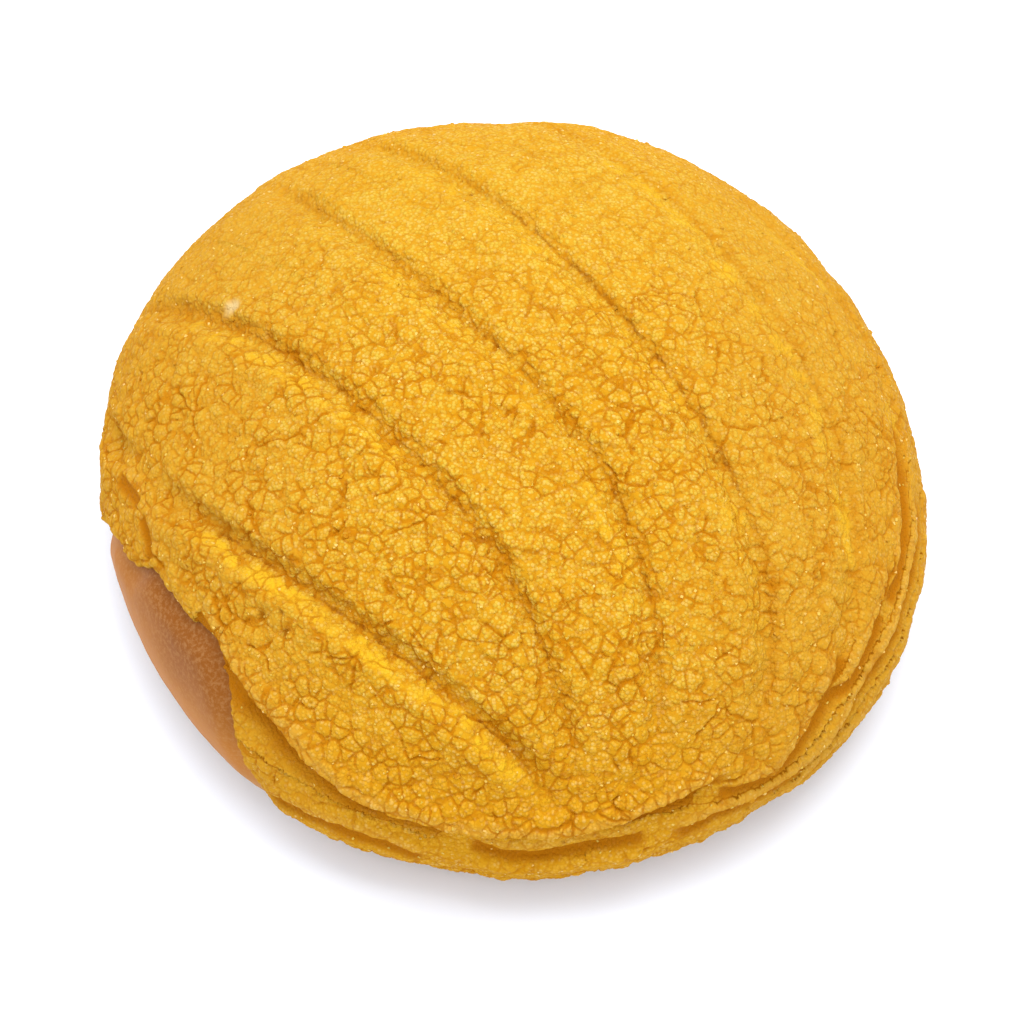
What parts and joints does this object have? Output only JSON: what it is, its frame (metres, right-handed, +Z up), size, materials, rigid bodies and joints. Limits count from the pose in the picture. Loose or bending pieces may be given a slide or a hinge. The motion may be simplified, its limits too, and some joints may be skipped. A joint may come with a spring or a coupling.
{
  "type": "concha sweet bun",
  "caption": "Round sweet bread bun under a thick cracked yellow sugar-paste shell scored with a fan of curved grooves, with a bare patch of crust on one side.",
  "frame": {"origin": "centre of the bounding box in plan, at the level of the surface it rests on", "axes": "+Z up through the dome; the fan of grooves meets near the rim at -Y; the bare patch of crust is on the -X side, towards -Y"},
  "size_m": [0.1159, 0.1165, 0.0483],
  "materials": {
    "bread_crust": "soft baked crust, tan to light brown, faintly shiny",
    "sugar_paste": "dry grainy sugar paste, egg yellow, matt, with fine cracks"
  },
  "bodies": {
    "root": {"bun": "bread_crust", "topping": "sugar_paste"}
  },
  "joints": []
}
